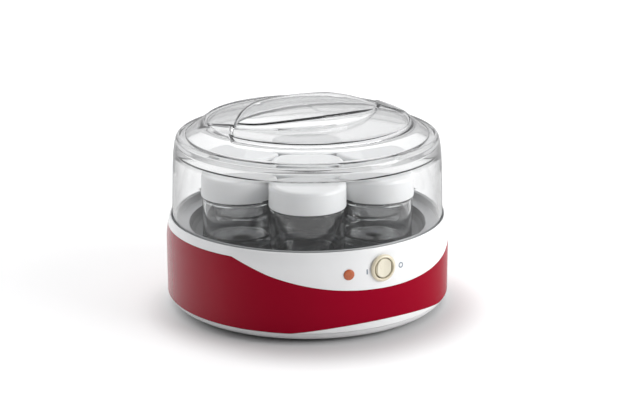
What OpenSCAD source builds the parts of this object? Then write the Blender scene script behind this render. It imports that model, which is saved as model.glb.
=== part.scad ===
// Seven-jar yogurt maker: round heated base, clear lid with a pinch grip,
// six glass jars in a ring and one in the middle, each with a push-on cap.
// Millimetres. Z is up, the front with the switch faces -Y, the origin is on
// the floor under the centre of the base.

/* [Base] */
// Outside radius of the base wall
body_r = 126; // [110:1:140]
// Height of the rim of the base above the floor
rim_z = 80.4; // [70:0.1:95]
// Wall thickness of the white housing
wall = 2.4; // [1.8:0.1:4]
// Lower edge of the red band at the sides
band_bottom = 10.2; // [8:0.1:16]
// Upper edge of the red band at the sides
band_top = 72.4; // [60:0.5:76]
// Depth of the red band skin set into the housing
band_t = 1.2; // [0.8:0.1:1.6]
// Lowest height of the white front panel inside the band
panel_low = 44.5; // [36:0.5:60]
// Radius of the sweep that bounds the white front panel
panel_r = 250; // [180:5:320]
// Height of the band edge in the middle of the front
arch_high = 17; // [11:0.5:22]

/* [Heating bowl] */
// Radius of the bowl mouth
bowl_r = 105.7; // [100:0.1:110]
// Height of the ledge round the bowl
ledge_z = 73.3; // [70:0.1:76]
// Height of the bowl floor the jars stand on
floor_z = 65; // [55:0.5:70]
// Sheet thickness of the bowl
bowl_t = 1.5; // [1:0.1:2.5]

/* [Jars] */
// Radius of the ring the outer jars stand on
ring_r = 68.3; // [66:0.1:72]
// Outside radius of the glass
jar_r = 31.8; // [28:0.1:33]
// Glass thickness of the wall
jar_t = 2.4; // [1.6:0.1:4]
// Glass thickness of the floor
jar_floor = 6; // [3:0.5:9]
// Height of the mouth of the jar above the floor
jar_top = 122.6; // [110:0.1:124]
// Outside radius of the cap
cap_r = 33.1; // [30:0.1:34]
// Underside of the cap skirt
cap_bottom = 105.8; // [95:0.1:112]
// Top of the cap
cap_top = 125.5; // [118:0.1:130]

/* [Lid] */
// Wall thickness of the clear lid
lid_t = 2.4; // [1.8:0.1:4]
// Radius of the lid at its foot
lid_r = 120.6; // [112:0.1:121]
// Height of the rim round the top of the lid
lid_rim_z = 152.8; // [140:0.1:170]
// Height of the raised disc inside the rim
disc_z = 165.5; // [150:0.1:180]
// Radius of the raised disc
disc_r = 90.5; // [80:0.5:100]
// Radius of the two arcs that bound the grip
grip_r = 98; // [80:1:120]
// Distance of the centres of those arcs from the lid axis
grip_c = 65; // [50:1:80]
// Height of the crest of the grip
crest_z = 179; // [170:0.5:190]
// Depth of the two finger recesses below the disc
recess_d = 6.5; // [2:0.5:14]

/* [Controls] */
// Height of the switch and its bezel
switch_z = 62.9; // [50:0.1:70]
// Outside radius of the bezel
bezel_r = 11.8; // [10:0.1:14]
// Tilt of the rocker to either side
tilt = 7; // [4:0.5:10]
// Angle of the indicator lamp to the left of the switch
lamp_a = 14.2; // [10:0.1:20]
// Height of the indicator lamp
lamp_z = 60.9; // [50:0.1:70]

/* [Hidden] */
$fn = 96;
in_r = lid_r + 0.8;         // inside radius of the housing rim
lip_r = 117.4;              // outside radius of the bowl lip
groove_z = 74.6;            // floor of the groove the lid stands in
bowl_in = bowl_r - 3.5;
post_r = 109.6;             // circle of the screw posts
plate_z = floor_z - bowl_t; // underside of the bowl floor

// ---- helpers ----
module ring(r1, r2, z1, z2) {
  difference() {
    translate([0, 0, z1]) cylinder(r = r2, h = z2 - z1);
    translate([0, 0, z1 - 1]) cylinder(r = r1, h = z2 - z1 + 2);
  }
}
module front(a, z, y = 0) {
  rotate([0, 0, a]) translate([0, -body_r + y, z]) rotate([90, 0, 0]) children();
}
function jx(k) = k == 7 ? 0 : ring_r * cos(60 * (k - 1));
function jy(k) = k == 7 ? 0 : ring_r * sin(60 * (k - 1));
module four(r, a0 = 45) { for (i = [0:3]) rotate([0, 0, a0 + 90 * i]) translate([r, 0, 0]) children(); }

// region taken by the red skin: all round below the top edge, less the
// white front panel above the sweep and the white arch below the band
module band_region() {
  difference() {
    translate([0, 0, band_bottom]) cylinder(r = body_r + 3, h = band_top - band_bottom);
    intersection() {
      translate([4, 0, panel_low + panel_r]) rotate([90, 0, 0]) cylinder(r = panel_r, h = 200);
      translate([-150, -200, 0]) cube([300, 199, 200]);
    }
    translate([0, 0, arch_high - 416]) rotate([90, 0, 0]) cylinder(r = 416, h = 200);
  }
}

// ---- housing ----
module housing_wall() {
  rotate_extrude() polygon([
    [body_r - 1.4, band_bottom - 0.4], [body_r, band_bottom + 1], [body_r, 62],
    [body_r - 0.5, 68], [body_r - 1.5, 74], [body_r - 2.6, 78.4], [body_r - 3.4, rim_z],
    [in_r + 0.2, rim_z], [in_r, rim_z - 0.6], [in_r, 70], [in_r + 1.6, 67.4],
    [body_r - wall - 0.6, 64], [body_r - wall, 60], [body_r - wall, band_bottom - 0.4]]);
}
module housing() {
  color("white") difference() {
    union() {
      housing_wall();
      // shelf that carries the flange of the bowl
      rotate_extrude() polygon([[112.6, 68.2], [112.6, 70.4], [118, 71.3], [118, 73],
        [in_r + 1, 73], [in_r + 1, 70], [118, 68.2]]);
      // lugs the bosses of the bowl pass through
      for (i = [0:3]) rotate([0, 0, 22.5 + 90 * i]) translate([110.6, 0, 0]) ring(2.15, 4.4, 66.2, 70);
      // four posts for the screws from below
      four(post_r) ring(2, 4.4, 9, 69.9);
      // ribs from posts to wall
      four(post_r) translate([4, -1, 15]) cube([body_r - post_r - wall - 3, 2, 50]);
    }
    difference() {
      band_region();
      translate([0, 0, -1]) cylinder(r = body_r - band_t, h = 200);
    }
    for (i = [0:3]) rotate([0, 0, 22.5 + 90 * i]) translate([110.6, 0, 60]) cylinder(r = 2.15, h = 12);
    // room for the switch under the bowl
    translate([-13, -119, 50]) cube([26, 19, 25]);
    // switch hole with its flat seat
    front(0, switch_z) translate([0, 0, -8]) cylinder(r = 10.15, h = 12);
    front(0, switch_z) translate([0, 0, -0.6]) cylinder(r = bezel_r + 0.1, h = 6);
    // lamp hole
    front(-lamp_a, lamp_z) translate([0, 0, -8]) cylinder(r = 4.1, h = 12);
    front(-lamp_a, lamp_z) translate([0, 0, -0.5]) cylinder(r = 4.85, h = 6);
    // slot for the cord inlet at the back
    translate([0, body_r - 4, 26]) rotate([90, 0, 0]) cylinder(r = 8.2, h = 16, center = true);
  }
}
module red_band() {
  color("darkred") difference() {
    intersection() {
      rotate_extrude() polygon([
        [body_r - band_t + 0.05, band_bottom], [body_r - 0.05, band_bottom + 1],
        [body_r, band_bottom + 1.6], [body_r, 62], [body_r - 0.5, 68], [body_r - 1.5, band_top],
        [body_r - band_t + 0.05 - 1.5, band_top], [body_r - band_t + 0.05, 66]]);
      band_region();
      translate([0, 0, -1]) difference() {
        cylinder(r = body_r + 2, h = 120);
        cylinder(r = body_r - band_t + 0.05, h = 120);
      }
    }
    translate([0, body_r - 4, 26]) rotate([90, 0, 0]) cylinder(r = 8.2, h = 16, center = true);
  }
}

// ---- underside ----
module base_pan() {
  color("whitesmoke") difference() {
    union() {
      rotate_extrude() polygon([
        [0, 4], [108, 4], [113, 2.4], [116.4, 2.4], [119.6, 3.6], [122.4, 5.8],
        [124.4, 9.6], [122.9, 9.6], [120.4, 7.2], [113, 6.2], [0, 6.2]]);
      // spigot that locates in the housing
      ring(121.4, 123.2, 7.2, 14);
      // rib ring
      ring(60, 61.6, 6, 12);
      // terminal block pad
      translate([-22, 70, 6]) cube([44, 21, 3]);
      four(post_r) ring(4.2, 6, 3, 7.6);
    }
    // screw clearance and counterbore
    four(post_r) translate([0, 0, -1]) cylinder(r = 2.1, h = 20);
    four(post_r) translate([0, 0, -1]) cylinder(r = 4.2, h = 5.6);
    // vents
    for (i = [-3:3]) translate([i * 9 - 1.5, -34, 0]) cube([3, 40, 10]);
    // foot sockets
    four(96, 0) translate([0, 0, -1]) cylinder(r = 4, h = 8);
    translate([0, 0, 0]) difference() {
      // seat of the rating plate
      translate([-25, -78, 3.4]) cube([50, 26, 1]);
    }
  }
}
module feet() {
  color("dimgray") four(96, 0) rotate_extrude() polygon([
    [0, 0], [6.4, 0], [7.2, 0.8], [7.2, 3.4], [6.6, 4], [3.9, 4], [3.9, 6.2], [4.7, 6.3], [3.6, 8.2], [0, 8.2]]);
}
module housing_screws() {
  color("silver") four(post_r) {
    translate([0, 0, 2.6]) difference() {
      cylinder(r = 3.9, h = 2);
      translate([-3, -0.5, -0.1]) cube([6, 1, 1.1]);
      translate([-0.5, -3, -0.1]) cube([1, 6, 1.1]);
    }
    translate([0, 0, 4.6]) cylinder(r = 1.9, h = 22);
  }
}
module rating_plate() {
  color("silver") translate([-24.5, -77.5, 3.5]) cube([49, 25, 0.45]);
}
module cord_inlet() {
  color("dimgray") translate([0, body_r - 3.9, 26]) rotate([-90, 0, 0]) difference() {
    union() {
      translate([0, 0, -8]) cylinder(r = 8, h = 12.4);
      translate([0, 0, 4.1]) cylinder(r = 9.4, h = 2.5);
      translate([0, 0, -2.4]) cylinder(r = 9.4, h = 3.3);
    }
    translate([0, 0, -12]) cylinder(r = 3.4, h = 24);
    translate([0, 0, 5.2]) cylinder(r1 = 3.4, r2 = 5, h = 1.6);
  }
}

// ---- heating bowl and heater ----
module heating_bowl() {
  color("gray") difference() {
    union() {
      rotate_extrude() polygon([
        [0, floor_z], [bowl_in - 2.5, floor_z], [bowl_in - 0.6, floor_z + 0.9], [bowl_in + 0.6, floor_z + 3],
        [bowl_r, ledge_z], [116, ledge_z], [116, 80], [116.4, 80.6], [117, 80.6], [lip_r, 80],
        [lip_r, groove_z], [in_r - 0.1, groove_z], [in_r - 0.1, 73.1], [117.8, 73.1], [117.8, 71.6],
        [bowl_r - 0.8, 71.6], [bowl_in + 2.0, floor_z - 0.4], [bowl_in - 1.2, plate_z], [0, plate_z]]);
      for (i = [0:3]) rotate([0, 0, 22.5 + 90 * i]) translate([110.6, 0, 0]) ring(1.2, 1.95, 65.9, 71.8);
      // stud under the middle
      translate([0, 0, 54.5]) cylinder(r = 2.4, h = 9.2);
    }
    // shallow seats that keep the jars apart
    for (k = [1:7]) translate([jx(k), jy(k), floor_z - 0.4]) ring(24, 26, 0, 2);
  }
}
module bowl_screws() {
  color("silver") for (i = [0:3]) rotate([0, 0, 22.5 + 90 * i]) translate([110.6, 0, 0]) {
    translate([0, 0, 64.1]) cylinder(r = 3, h = 1.8);
    translate([0, 0, 65.8]) cylinder(r = 1.15, h = 5.4);
  }
}
module heater_ring() {
  color("darkgoldenrod") {
    ring(30, 46, plate_z - 1.2, plate_z);
    ring(58, 92, plate_z - 1.2, plate_z);
    translate([44, -4, plate_z - 1.2]) cube([16, 8, 1.2]);
    translate([34, 6, plate_z - 6.2]) cube([6, 3, 5.2]);
    translate([34, -9, plate_z - 6.2]) cube([6, 3, 5.2]);
  }
}
module insulation_disc() {
  color("beige") difference() {
    ring(2.8, 96, plate_z - 3.6, plate_z - 1.2);
    translate([32, -11, plate_z - 8]) cube([10, 22, 10]);
    translate([0, 18, plate_z - 8]) cylinder(r = 9.4, h = 10);
  }
}
module clamp_plate() {
  color("silver") difference() {
    union() {
      ring(2.8, 12, plate_z - 4.8, plate_z - 3.6);
      for (i = [0:2]) rotate([0, 0, 30 + 120 * i]) translate([-6, -6, plate_z - 4.8]) cube([90, 12, 1.2]);
      ring(72, 84, plate_z - 4.8, plate_z - 3.6);
    }
    translate([0, 0, 40]) cylinder(r = 2.8, h = 30);
    translate([0, 18, 40]) cylinder(r = 9.6, h = 30);
    translate([31, -12, 50]) cube([12, 24, 20]);
  }
}
module clamp_nut() {
  color("silver") translate([0, 0, plate_z - 8]) difference() {
    cylinder(r = 5.2, h = 3.2, $fn = 6);
    translate([0, 0, -1]) cylinder(r = 2.45, h = 6);
  }
}
module thermostat() {
  color("black") translate([0, 18, 0]) {
    translate([0, 0, plate_z - 7.2]) cylinder(r = 8.6, h = 7.2);
    translate([0, 0, plate_z - 11]) cylinder(r = 6.4, h = 3.9);
    translate([-5.4, -0.4, plate_z - 19]) cube([1.2, 0.8, 8.1]);
    translate([4.2, -0.4, plate_z - 19]) cube([1.2, 0.8, 8.1]);
  }
}
module thermostat_bracket() {
  color("silver") translate([0, 18, plate_z - 8.4]) {
    difference() {
      translate([-22, -8, 0]) cube([44, 16, 1]);
      translate([0, 0, -1]) cylinder(r = 6.6, h = 3);
    }
    for (x = [-22, 20.8]) translate([x, -8, 0.9]) cube([1.2, 16, 2.6]);
  }
}
module thermal_fuse() {
  color("silver") {
    translate([-46, -30, plate_z - 7.4]) rotate([0, 90, 0]) cylinder(r = 2.6, h = 22);
    translate([-58, -30, plate_z - 7.4]) rotate([0, 90, 0]) cylinder(r = 0.7, h = 12.2);
    translate([-24.2, -30, plate_z - 7.4]) rotate([0, 90, 0]) cylinder(r = 0.7, h = 12.2);
  }
}
module terminal_block() {
  color("ivory") translate([-18, 74, 9]) difference() {
    union() { cube([36, 16, 8]); translate([0, 3, 8]) cube([36, 10, 6]); }
    for (i = [0:2]) translate([6 + 12 * i, 8, 6]) cylinder(r = 2.4, h = 12);
    for (i = [0:2]) translate([6 + 12 * i, -1, 5]) rotate([-90, 0, 0]) cylinder(r = 2, h = 20);
  }
}
// a round lead from point a along axis d (0 = X, 1 = Y, 2 = Z) for length l
module lead(a, d, l) {
  translate(a) rotate(d == 0 ? [0, l < 0 ? -90 : 90, 0] : d == 1 ? [l < 0 ? 90 : -90, 0, 0] : [l < 0 ? 180 : 0, 0, 0])
    cylinder(r = 1.3, h = abs(l));
}
module knee(a) { translate(a) sphere(r = 1.5); }
module harness() {
  color("saddlebrown") {
    // heater tag to the terminal block
    lead([37, 7.5, 57.2], 2, -43.2); knee([37, 7.5, 14]);
    lead([37, 7.5, 14], 1, 74.5); knee([37, 82, 14]);
    lead([37, 82, 14], 0, -18.9);
    // heater tag to the switch
    lead([37, -7.5, 57.2], 2, -27.2); knee([37, -7.5, 30]);
    lead([37, -7.5, 30], 1, -85.5); knee([37, -93, 30]);
    lead([37, -93, 30], 0, -31); knee([6, -93, 30]);
    lead([6, -93, 30], 2, 27.9); knee([6, -93, 57.9]);
    lead([6, -93, 57.9], 1, -5.4);
    // terminal block to the switch
    lead([-18.1, 82, 14], 0, -24); knee([-42.1, 82, 14]);
    lead([-42.1, 82, 14], 1, -175); knee([-42.1, -93, 14]);
    lead([-42.1, -93, 14], 0, 36.1); knee([-6, -93, 14]);
    lead([-6, -93, 14], 2, 43.9); knee([-6, -93, 57.9]);
    lead([-6, -93, 57.9], 1, -5.4);
  }
}

// ---- switch ----
module switch_bezel() {
  color("wheat") front(0, switch_z) difference() {
    union() {
      translate([0, 0, -0.6]) cylinder(r = bezel_r, h = 1.5);
      translate([0, 0, 0.9]) cylinder(r1 = bezel_r, r2 = bezel_r - 0.8, h = 0.8);
      translate([0, 0, 1.7]) cylinder(r1 = bezel_r - 0.8, r2 = bezel_r - 2, h = 0.5);
      translate([0, 0, -8]) cylinder(r = 10, h = 8);
    }
    translate([0, 0, -10]) cylinder(r = 8.95, h = 14);
    translate([0, 0, -3.2]) rotate([90, 0, 0]) cylinder(r = 1, h = 22, center = true);
  }
}
module switch_body() {
  color("dimgray") front(0, switch_z) {
    translate([-8.6, -9.4, -19.5]) cube([17.2, 16.8, 11]);
  }
}
module switch_terminals() {
  color("gold") front(0, switch_z) {
    translate([-6.4, -6.4, -27.5]) cube([0.9, 4.8, 8]);
    translate([5.5, -6.4, -27.5]) cube([0.9, 4.8, 8]);
    translate([-0.45, -6.4, -27.5]) cube([0.9, 4.8, 8]);
  }
}
module switch_pin() {
  color("silver") front(0, switch_z) translate([0, 0, -3.2]) rotate([90, 0, 0]) cylinder(r = 0.9, h = 19.4, center = true);
}
module rocker() {
  color("cornsilk") front(0, switch_z) translate([0, 0, -3.2]) rotate([0, tilt, 0]) difference() {
    intersection() {
      translate([0, 0, -4]) cylinder(r = 8.4, h = 14);
      rotate([90, 0, 0]) cylinder(r = 8.75, h = 20, center = true);
    }
    rotate([0, tilt, 0]) translate([-12, -12, 4.2]) cube([12.2, 24, 10]);
    rotate([0, -tilt, 0]) translate([-0.2, -12, 4.2]) cube([12.2, 24, 10]);
    rotate([90, 0, 0]) cylinder(r = 1.05, h = 22, center = true);
  }
}

// ---- indicator ----
module indicator_lens() {
  color("orangered") front(-lamp_a, lamp_z) difference() {
    union() {
      translate([0, 0, -0.5]) cylinder(r = 4.7, h = 1.2);
      translate([0, 0, 0.7]) cylinder(r1 = 4.7, r2 = 3.6, h = 0.5);
      translate([0, 0, -9]) cylinder(r = 3.95, h = 9);
    }
    translate([0, 0, -10]) cylinder(r = 2.9, h = 8.6);
  }
}
module indicator_lamp() {
  color("peachpuff") front(-lamp_a, lamp_z) {
    translate([0, 0, -13]) cylinder(r = 2.5, h = 9);
    translate([0, 0, -4]) sphere(r = 2.5);
    translate([-1.4, 0, -22]) cylinder(r = 0.35, h = 9.2);
    translate([1.4, 0, -22]) cylinder(r = 0.35, h = 9.2);
  }
}
module lamp_clip() {
  color("dimgray") front(-lamp_a, lamp_z) translate([0, 0, -6.4]) difference() {
    cylinder(r = 6, h = 2.6);
    translate([0, 0, -1]) cylinder(r = 4.0, h = 6);
    translate([3, -0.8, -1]) cube([6, 1.6, 6]);
  }
}

// ---- lid ----
// t = 0 gives the outside of the lid, t = lid_t the space inside it
module lid_form(t) {
  union() {
    difference() {
      rotate_extrude() polygon([
        [0, groove_z + 0.1 - (t > 0 ? 3 : 0)], [lid_r - t, groove_z + 0.1 - (t > 0 ? 3 : 0)], [lid_r - t - 1.2, 120],
        [lid_r - t - 2.2, 136], [lid_r - t - 3.6 - t * 0.5, 145.5 - t * 0.6], [lid_r - t - 4.9 - t * 0.6, 150.2 - t * 0.9], [lid_r - t - 7.6 - t * 0.4, lid_rim_z - t],
        [107.7 + t * 0.1, lid_rim_z - t], [disc_r + t * 0.1, disc_z - t], [0, disc_z - t]]);
      for (s = [-1, 1]) translate([0, 0, disc_z - recess_d - t]) intersection() {
        cylinder(r = disc_r - 2 + t, h = 40);
        difference() {
          translate([0, grip_c * s, 0]) cylinder(r = grip_r + t, h = 40);
          translate([0, -grip_c * s, -1]) cylinder(r = grip_r - t, h = 42);
        }
      }
    }
    // arched grip between the two arcs
    intersection() {
      translate([0, grip_c, 140]) cylinder(r = grip_r - t, h = 60);
      translate([0, -grip_c, 140]) cylinder(r = grip_r - t, h = 60);
      translate([0, 0, crest_z - 222]) rotate([90, 0, 0]) cylinder(r = 222 - t, h = 120, center = true);
      translate([-100, -60, disc_z - recess_d - t - 1]) cube([200, 120, 40]);
    }
    // webs that join the tips of the grip to the disc
    if (t == 0) for (x = [-1, 1]) translate([x * 73.3, 0, 158]) cylinder(r = 4, h = 8.2);
  }
}
module lid() {
  color("lightblue", 0.4) difference() {
    lid_form(0);
    lid_form(lid_t);
  }
}

// ---- jars and caps ----
module jar(k) {
  color("lightgray", 0.6) translate([jx(k), jy(k), 0]) difference() {
    rotate_extrude() polygon([
      [0, floor_z + 1.1], [22, floor_z + 0.6], [24, floor_z + 0.05], [jar_r - 4.6, floor_z + 0.05],
      [jar_r - 1.6, floor_z + 1.2], [jar_r - 0.3, floor_z + 3.6], [jar_r, floor_z + 6], [jar_r, 101.4],
      [jar_r + 0.35, 102.4], [jar_r + 0.35, 104], [jar_r - 0.6, 104.9], [jar_r - 1.4, 106], [jar_r - 1.4, 114],
      [jar_r - 0.9, 114.6], [jar_r - 0.9, 116.4], [jar_r - 1.4, 117], [jar_r - 1.4, jar_top - 0.8], [jar_r - 2, jar_top], [0, jar_top]]);
    rotate_extrude() polygon([
      [0, floor_z + jar_floor], [jar_r - jar_t - 6, floor_z + jar_floor], [jar_r - jar_t - 1.8, floor_z + jar_floor + 1.8],
      [jar_r - jar_t, floor_z + jar_floor + 6], [jar_r - jar_t, 101], [jar_r - jar_t - 1.2, 105.5],
      [jar_r - jar_t - 1.2, jar_top + 1], [0, jar_top + 1]]);
  }
}
module cap(k) {
  color("white") translate([jx(k), jy(k), 0]) rotate_extrude() polygon([
    [0, cap_top - 2], [cap_r - 6.4, cap_top - 2], [cap_r - 6.4, 119], [cap_r - 5.5, 119], [cap_r - 5.5, cap_top - 2.2],
    [cap_r - 2.1, cap_top - 3], [cap_r - 1.8, cap_bottom + 0.4], [cap_r - 1.6, cap_bottom], [cap_r - 0.3, cap_bottom],
    [cap_r, cap_bottom + 0.4], [cap_r, cap_top - 3.4], [cap_r - 0.5, cap_top - 1.6], [cap_r - 1.6, cap_top - 0.5],
    [cap_r - 3, cap_top], [0, cap_top]]);
}
module jar_1() jar(1);
module jar_2() jar(2);
module jar_3() jar(3);
module jar_4() jar(4);
module jar_5() jar(5);
module jar_6() jar(6);
module jar_7() jar(7);
module cap_1() cap(1);
module cap_2() cap(2);
module cap_3() cap(3);
module cap_4() cap(4);
module cap_5() cap(5);
module cap_6() cap(6);
module cap_7() cap(7);

housing();
red_band();
base_pan();
feet();
heating_bowl();
bowl_screws();
heater_ring();
insulation_disc();
clamp_plate();
clamp_nut();
thermostat();
thermostat_bracket();
thermal_fuse();
terminal_block();
cord_inlet();
harness();
housing_screws();
rating_plate();
switch_bezel();
switch_body();
switch_terminals();
switch_pin();
rocker();
indicator_lens();
indicator_lamp();
lamp_clip();
lid();
jar_1();
jar_2();
jar_3();
jar_4();
jar_5();
jar_6();
jar_7();
cap_1();
cap_2();
cap_3();
cap_4();
cap_5();
cap_6();
cap_7();
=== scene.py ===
import math
import bpy
import bmesh
from mathutils import Matrix, Vector


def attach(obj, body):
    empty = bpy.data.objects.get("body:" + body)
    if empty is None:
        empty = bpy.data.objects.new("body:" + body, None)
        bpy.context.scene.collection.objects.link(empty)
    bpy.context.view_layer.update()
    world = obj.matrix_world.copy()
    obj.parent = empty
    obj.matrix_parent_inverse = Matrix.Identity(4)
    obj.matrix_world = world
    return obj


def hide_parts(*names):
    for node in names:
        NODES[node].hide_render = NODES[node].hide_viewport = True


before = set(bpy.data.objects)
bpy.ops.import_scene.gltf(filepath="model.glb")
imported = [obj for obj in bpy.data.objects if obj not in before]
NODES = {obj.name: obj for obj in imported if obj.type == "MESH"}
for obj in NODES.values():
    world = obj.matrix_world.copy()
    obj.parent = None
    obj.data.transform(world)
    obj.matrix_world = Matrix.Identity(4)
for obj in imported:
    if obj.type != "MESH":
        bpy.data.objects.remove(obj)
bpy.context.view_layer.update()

K = 0.001
pi = math.pi

# ------------------------------------------------------------------ camera
cam_data = bpy.data.cameras.new("camera")
cam_data.lens = 96.74
cam_data.sensor_width = 36.0
cam_data.clip_end = 50.0
cam = bpy.data.objects.new("camera", cam_data)
bpy.context.scene.collection.objects.link(cam)
cam.location = (-0.73677, -1.27418, 0.52713)
cam.rotation_mode = "QUATERNION"
cam.rotation_quaternion = Vector((0.48585868, 0.82565408, -0.2867694)).to_track_quat("-Z", "Y")
bpy.context.scene.camera = cam


# ------------------------------------------------------------------ materials
def new_mat(name):
    m = bpy.data.materials.new(name)
    m.use_nodes = True
    nt = m.node_tree
    b = nt.nodes["Principled BSDF"]
    return m, nt, b


def noise(nt, scale, detail=3.0, rough=0.55, stretch=None):
    tc = nt.nodes.new("ShaderNodeTexCoord")
    n = nt.nodes.new("ShaderNodeTexNoise")
    n.inputs["Scale"].default_value = scale
    n.inputs["Detail"].default_value = detail
    n.inputs["Roughness"].default_value = rough
    if stretch:
        mp = nt.nodes.new("ShaderNodeMapping")
        mp.inputs["Scale"].default_value = stretch
        nt.links.new(tc.outputs["Object"], mp.inputs["Vector"])
        nt.links.new(mp.outputs["Vector"], n.inputs["Vector"])
    else:
        nt.links.new(tc.outputs["Object"], n.inputs["Vector"])
    return n.outputs["Fac"]


def remap(nt, src, a, b, lo=0.3, hi=0.7):
    r = nt.nodes.new("ShaderNodeMapRange")
    r.inputs["From Min"].default_value = lo
    r.inputs["From Max"].default_value = hi
    r.inputs["To Min"].default_value = a
    r.inputs["To Max"].default_value = b
    nt.links.new(src, r.inputs["Value"])
    return r.outputs["Result"]


def two_tone(nt, fac, c1, c2):
    mx = nt.nodes.new("ShaderNodeMix")
    mx.data_type = "RGBA"
    nt.links.new(fac, mx.inputs[0])
    mx.inputs[6].default_value = (*c1, 1)
    mx.inputs[7].default_value = (*c2, 1)
    return mx.outputs[2]


def bump(nt, b, src, strength, dist):
    n = nt.nodes.new("ShaderNodeBump")
    n.inputs["Strength"].default_value = strength
    n.inputs["Distance"].default_value = dist
    nt.links.new(src, n.inputs["Height"])
    nt.links.new(n.outputs["Normal"], b.inputs["Normal"])
    return n


def finish_mat(name, c1, c2, rough=(0.2, 0.3), metal=0.0, tone_scale=40.0, grain=1800.0,
               grain_amt=0.1, grain_dist=0.00002, coat=0.0, sss=0.0, spec=0.5, stretch=None,
               rough_scale=160.0, ior=1.5, coat_rough=0.05):
    m, nt, b = new_mat(name)
    b.inputs["Metallic"].default_value = metal
    b.inputs["IOR"].default_value = ior
    b.inputs["Specular IOR Level"].default_value = spec
    b.inputs["Coat Weight"].default_value = coat
    b.inputs["Coat Roughness"].default_value = coat_rough
    nt.links.new(two_tone(nt, remap(nt, noise(nt, tone_scale, 4.0), 0.0, 1.0), c1, c2), b.inputs["Base Color"])
    nt.links.new(remap(nt, noise(nt, rough_scale, 5.0, 0.6, stretch), rough[0], rough[1]), b.inputs["Roughness"])
    bump(nt, b, noise(nt, grain, 2.0, 0.5, stretch), grain_amt, grain_dist)
    if sss:
        b.inputs["Subsurface Weight"].default_value = sss
        b.inputs["Subsurface Radius"].default_value = (0.004, 0.0035, 0.003)
        b.inputs["Subsurface Scale"].default_value = 0.5
    m.diffuse_color = (*c1, 1)
    return m


def clear_mat(name, tint, ior, rough, shadow_tint, edge=(0.20, 0.21, 0.22), edge_pow=5.0, density=0.0, wave=0.008, wave_scale=7.0,
              rim=(0.5, 0.505, 0.51), rim_pow=8.0, glint=0.4, band=None):
    m, nt, b = new_mat(name)
    b.inputs["Specular Tint"].default_value = (glint, glint, glint, 1)
    b.inputs["Transmission Weight"].default_value = 1.0
    b.inputs["IOR"].default_value = ior
    tone = two_tone(nt, remap(nt, noise(nt, 12.0, 2.0), 0.0, 1.0), tint, tuple(0.985 * t for t in tint))
    # darker towards grazing angles: partly the tint of the longer path through the clear part, partly painted dark
    # lines along edges, rims and rounded ridges
    lw = nt.nodes.new("ShaderNodeLayerWeight")
    lw.inputs["Blend"].default_value = 0.5
    pw = nt.nodes.new("ShaderNodeMath")
    pw.operation = "POWER"
    nt.links.new(lw.outputs["Facing"], pw.inputs[0])
    pw.inputs[1].default_value = edge_pow
    em = nt.nodes.new("ShaderNodeMix")
    em.data_type = "RGBA"
    nt.links.new(pw.outputs[0], em.inputs[0])
    nt.links.new(tone, em.inputs[6])
    em.inputs[7].default_value = (*edge, 1)
    col = em.outputs[2]
    if band:
        # painted shade by height: (height in m, tone) pairs that darken the colour in a band
        tc = nt.nodes.new("ShaderNodeTexCoord")
        sx = nt.nodes.new("ShaderNodeSeparateXYZ")
        nt.links.new(tc.outputs["Object"], sx.inputs[0])
        mz = nt.nodes.new("ShaderNodeMapRange")
        mz.inputs["From Min"].default_value = band[0][0]
        mz.inputs["From Max"].default_value = band[-1][0]
        nt.links.new(sx.outputs[2], mz.inputs["Value"])
        cr = nt.nodes.new("ShaderNodeValToRGB")
        w = band[-1][0] - band[0][0]
        ce = cr.color_ramp.elements
        ce[0].position, ce[1].position = 0.0, 1.0
        ce[0].color = (band[0][1],) * 3 + (1,)
        ce[1].color = (band[-1][1],) * 3 + (1,)
        for z_, t_ in band[1:-1]:
            q = ce.new((z_ - band[0][0]) / w)
            q.color = (t_, t_, t_, 1)
        nt.links.new(mz.outputs["Result"], cr.inputs["Fac"])
        mu = nt.nodes.new("ShaderNodeMix")
        mu.data_type = "RGBA"
        mu.blend_type = "MULTIPLY"
        mu.inputs[0].default_value = 1.0
        nt.links.new(col, mu.inputs[6])
        nt.links.new(cr.outputs["Color"], mu.inputs[7])
        col = mu.outputs[2]
    nt.links.new(col, b.inputs["Base Color"])
    nt.links.new(remap(nt, noise(nt, 60.0, 4.0), rough[0], rough[1]), b.inputs["Roughness"])
    bump(nt, b, noise(nt, wave_scale, 1.0), wave, 0.002)
    tr = nt.nodes.new("ShaderNodeBsdfTransparent")
    tr.inputs["Color"].default_value = (*shadow_tint, 1)
    lp = nt.nodes.new("ShaderNodeLightPath")
    mx = nt.nodes.new("ShaderNodeMath")
    mx.operation = "MAXIMUM"
    nt.links.new(lp.outputs["Is Shadow Ray"], mx.inputs[0])
    nt.links.new(lp.outputs["Is Diffuse Ray"], mx.inputs[1])
    ms = nt.nodes.new("ShaderNodeMixShader")
    nt.links.new(mx.outputs[0], ms.inputs[0])
    # at grazing angles the surface turns to a dark see-through tint, more painted dark edge lines
    p2 = nt.nodes.new("ShaderNodeMath")
    p2.operation = "POWER"
    nt.links.new(lw.outputs["Facing"], p2.inputs[0])
    p2.inputs[1].default_value = rim_pow
    t2 = nt.nodes.new("ShaderNodeBsdfTransparent")
    t2.inputs["Color"].default_value = (*rim, 1)
    m2 = nt.nodes.new("ShaderNodeMixShader")
    nt.links.new(p2.outputs[0], m2.inputs[0])
    nt.links.new(b.outputs[0], m2.inputs[1])
    nt.links.new(t2.outputs[0], m2.inputs[2])
    nt.links.new(m2.outputs[0], ms.inputs[1])
    nt.links.new(tr.outputs[0], ms.inputs[2])
    out = [n for n in nt.nodes if n.type == "OUTPUT_MATERIAL"][0]
    nt.links.new(ms.outputs[0], out.inputs["Surface"])
    if density:
        va = nt.nodes.new("ShaderNodeVolumeAbsorption")
        va.inputs["Color"].default_value = (0.30, 0.325, 0.33, 1)
        va.inputs["Density"].default_value = density
        nt.links.new(va.outputs[0], out.inputs["Volume"])
    m.diffuse_color = (*tint, 0.3)
    return m


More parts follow.
